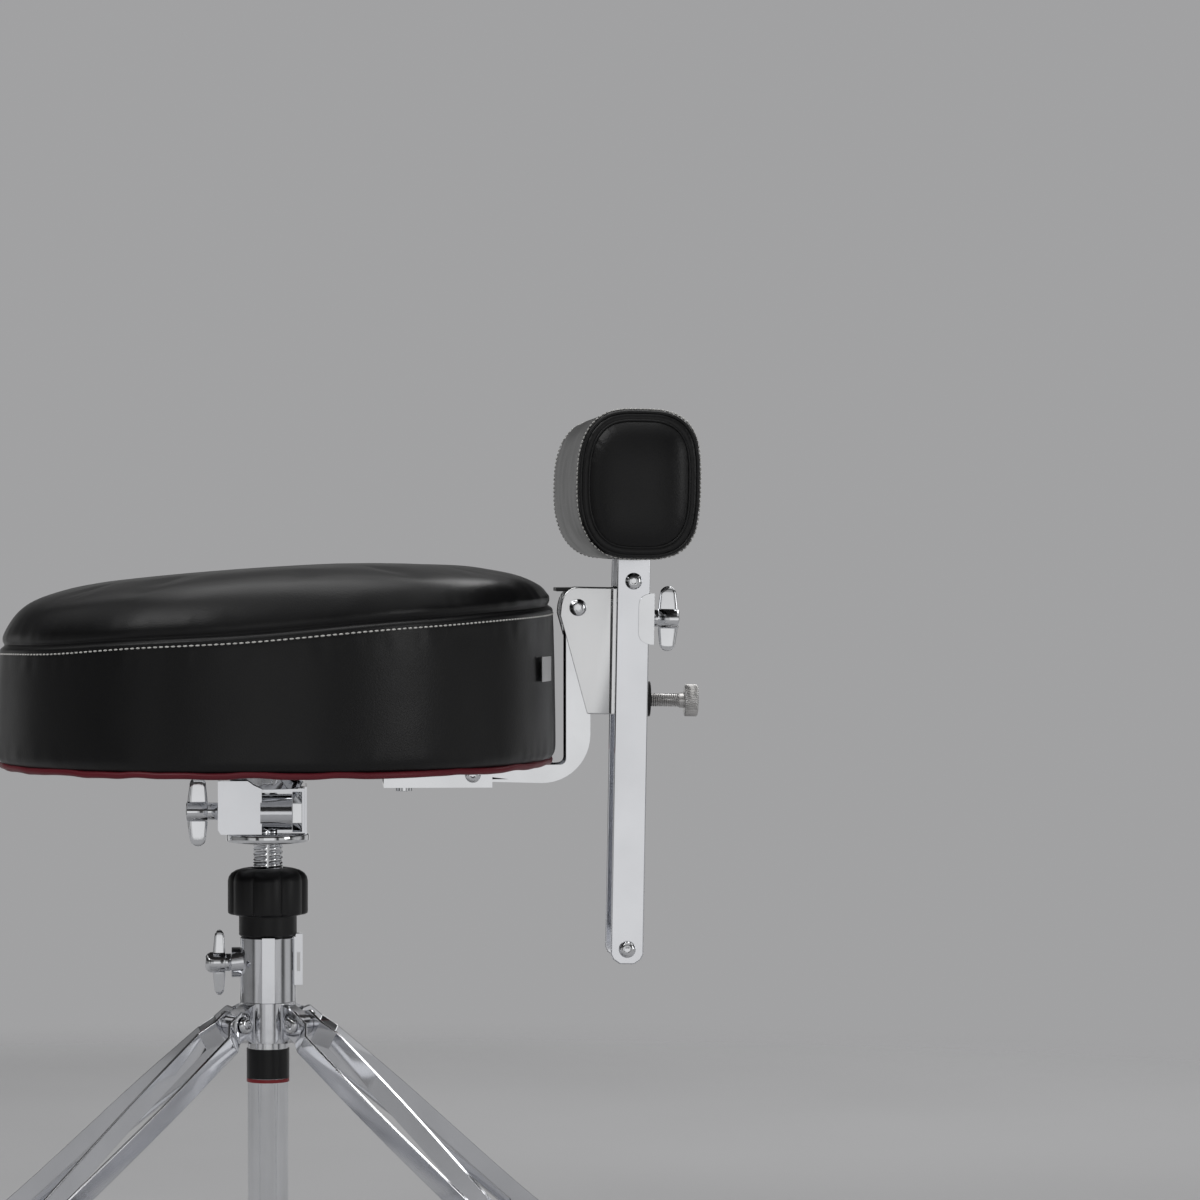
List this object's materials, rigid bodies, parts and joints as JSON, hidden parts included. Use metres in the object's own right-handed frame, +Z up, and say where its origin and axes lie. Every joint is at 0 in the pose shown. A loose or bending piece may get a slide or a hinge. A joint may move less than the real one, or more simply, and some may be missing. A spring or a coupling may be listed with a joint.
{
  "type": "drum throne",
  "caption": "Folding drum throne with braced strip legs, threaded post, padded saddle seat and a height-adjustable padded backrest on flat bars.",
  "frame": {"origin": "on the floor, under the middle of the whole throne's bounding box", "axes": "+Z up, the drummer faces -Y, the backrest is at +Y, +X is the drummer's left"},
  "size_m": [0.5128, 0.5594, 0.6354],
  "materials": {
    "chrome": "polished",
    "cast_metal": "polished casting",
    "satin_steel": "satin",
    "black_steel": "satin black",
    "black_plastic": "semi-gloss",
    "red_line": "gloss",
    "brass": "turned",
    "rubber": "matte",
    "plywood": "black-stained",
    "vinyl": "vinyl-coated upholstery fabric, smooth, low sheen"
  },
  "bodies": {
    "base": {"base_tube": "chrome", "tube_plug": "black_plastic", "thread_insert": "brass", "label_band": "black_plastic", "label_line": "red_line", "collar_stop": "chrome", "leg_hub": "cast_metal", "post_clamp": "cast_metal", "hub_pin_rear_left": "satin_steel", "hub_pin_rear_right": "satin_steel", "hub_pin_front_right": "satin_steel", "hub_pin_front_left": "satin_steel"},
    "post_wing": {"post_wing_bolt": "chrome"},
    "lock_handle": {"lock_handle": "black_plastic", "handle_nut": "brass"},
    "post": {"threaded_rod": "chrome", "rod_disc": "chrome"},
    "seat": {"seat_receiver": "cast_metal", "receiver_nut": "chrome", "seat_plate": "chrome", "seat_board": "plywood", "seat_cushion": "vinyl", "arm_channel": "chrome", "arm_lock_bolt": "chrome", "arm_clamp_bolt": "chrome"},
    "receiver_wing": {"receiver_wing_bolt": "chrome"},
    "back_arm": {"back_arm": "chrome", "arm_cap": "black_plastic"},
    "tilt_bracket": {"tilt_bracket": "satin_steel", "tilt_pivot_bolt": "chrome", "bar_clip": "chrome", "tilt_lock_disc": "black_plastic"},
    "clip_wing": {"clip_wing_bolt": "chrome"},
    "tilt_screw": {"tilt_screw": "chrome"},
    "backrest": {"bar_left": "chrome", "bar_right": "chrome", "bar_bolt_top": "chrome", "bar_bolt_middle": "chrome", "bar_bolt_bottom": "chrome", "bar_spacer": "chrome", "pad_bracket": "black_steel", "pad_board": "plywood", "pad_cushion": "vinyl"},
    "brace_collar": {"brace_collar": "cast_metal"},
    "leg_rear_left": {"leg_rear_left_strip_a": "chrome", "leg_rear_left_strip_b": "chrome", "leg_rear_left_foot": "rubber"},
    "stay_rear_left": {"stay_rear_left": "chrome"},
    "leg_rear_right": {"leg_rear_right_strip_a": "chrome", "leg_rear_right_strip_b": "chrome", "leg_rear_right_foot": "rubber"},
    "stay_rear_right": {"stay_rear_right": "chrome"},
    "leg_front_right": {"leg_front_right_strip_a": "chrome", "leg_front_right_strip_b": "chrome", "leg_front_right_foot": "rubber"},
    "stay_front_right": {"stay_front_right": "chrome"},
    "leg_front_left": {"leg_front_left_strip_a": "chrome", "leg_front_left_strip_b": "chrome", "leg_front_left_foot": "rubber"},
    "stay_front_left": {"stay_front_left": "chrome"}
  },
  "joints": [
    {"name": "leg_rear_left_fold", "type": "hinge", "parent": "base", "child": "leg_rear_left", "pos_m": [0.02263, -0.00072, 0.208], "axis": [-0.7071, 0.7071, 0], "range_deg": [0, 50]},
    {"name": "leg_rear_right_fold", "type": "hinge", "parent": "base", "child": "leg_rear_right", "pos_m": [-0.02263, -0.00072, 0.208], "axis": [-0.7071, -0.7071, 0], "range_deg": [0, 50]},
    {"name": "leg_front_right_fold", "type": "hinge", "parent": "base", "child": "leg_front_right", "pos_m": [-0.02263, -0.04598, 0.208], "axis": [0.7071, -0.7071, 0], "range_deg": [0, 50]},
    {"name": "leg_front_left_fold", "type": "hinge", "parent": "base", "child": "leg_front_left", "pos_m": [0.02263, -0.04598, 0.208], "axis": [0.7071, 0.7071, 0], "range_deg": [0, 50]},
    {"name": "brace_collar_slide", "type": "slide", "parent": "base", "child": "brace_collar", "axis": [0, 0, 1], "range_m": [0, 0.09871]},
    {"name": "stay_rear_left_pivot", "type": "hinge", "parent": "brace_collar", "child": "stay_rear_left", "pos_m": [0.01838, -0.00497, 0.064], "axis": [-0.7071, 0.7071, 0], "range_deg": [0, 76.37]},
    {"name": "stay_rear_right_pivot", "type": "hinge", "parent": "brace_collar", "child": "stay_rear_right", "pos_m": [-0.01838, -0.00497, 0.064], "axis": [-0.7071, -0.7071, 0], "range_deg": [0, 76.37]},
    {"name": "stay_front_right_pivot", "type": "hinge", "parent": "brace_collar", "child": "stay_front_right", "pos_m": [-0.01838, -0.04174, 0.064], "axis": [0.7071, -0.7071, 0], "range_deg": [0, 76.37]},
    {"name": "stay_front_left_pivot", "type": "hinge", "parent": "brace_collar", "child": "stay_front_left", "pos_m": [0.01838, -0.04174, 0.064], "axis": [0.7071, 0.7071, 0], "range_deg": [0, 76.37]},
    {"name": "post_wing_turn", "type": "hinge", "parent": "base", "child": "post_wing", "pos_m": [0, -0.06335, 0.2496], "axis": [0, -1, 0], "continuous": true},
    {"name": "lock_handle_turn", "type": "hinge", "parent": "base", "child": "lock_handle", "pos_m": [0, -0.02335, 0.3], "axis": [0, 0, 1], "continuous": true},
    {"name": "post_lift", "type": "slide", "parent": "base", "child": "post", "axis": [0, 0, 1], "range_m": [0, 0.15]},
    {"name": "seat_swivel", "type": "hinge", "parent": "post", "child": "seat", "pos_m": [0, -0.02335, 0.36], "axis": [0, 0, 1], "continuous": true},
    {"name": "receiver_wing_turn", "type": "hinge", "parent": "seat", "child": "receiver_wing", "pos_m": [0, -0.06935, 0.3557], "axis": [0, -1, 0], "continuous": true},
    {"name": "backrest_depth", "type": "slide", "parent": "seat", "child": "back_arm", "axis": [0, 1, 0], "range_m": [0, 0.04]},
    {"name": "backrest_tilt", "type": "hinge", "parent": "back_arm", "child": "tilt_bracket", "pos_m": [0, 0.19365, 0.499], "axis": [-1, 0, 0], "range_deg": [0, 10]},
    {"name": "clip_wing_turn", "type": "hinge", "parent": "tilt_bracket", "child": "clip_wing", "pos_m": [0, 0.25352, 0.49095], "axis": [0, 0.9998, -0.0175], "continuous": true},
    {"name": "tilt_screw_travel", "type": "slide", "parent": "tilt_bracket", "child": "tilt_screw", "axis": [0, 0.9998, -0.0175], "range_m": [0, 0.0128]},
    {"name": "backrest_height", "type": "slide", "parent": "tilt_bracket", "child": "backrest", "axis": [0, 0.0175, 0.9998], "range_m": [0, 0.159]}
  ],
  "couplings": [
    {"joint": "leg_rear_left_fold", "follows": "brace_collar_slide", "rad_per_m": 8.8406},
    {"joint": "leg_rear_right_fold", "follows": "brace_collar_slide", "rad_per_m": 8.8406},
    {"joint": "leg_front_right_fold", "follows": "brace_collar_slide", "rad_per_m": 8.8406},
    {"joint": "leg_front_left_fold", "follows": "brace_collar_slide", "rad_per_m": 8.8406},
    {"joint": "stay_rear_left_pivot", "follows": "brace_collar_slide", "rad_per_m": 13.486},
    {"joint": "stay_rear_right_pivot", "follows": "brace_collar_slide", "rad_per_m": 13.486},
    {"joint": "stay_front_right_pivot", "follows": "brace_collar_slide", "rad_per_m": 13.486},
    {"joint": "stay_front_left_pivot", "follows": "brace_collar_slide", "rad_per_m": 13.486},
    {"joint": "tilt_screw_travel", "follows": "backrest_tilt", "m_per_rad": 0.0722}
  ]
}
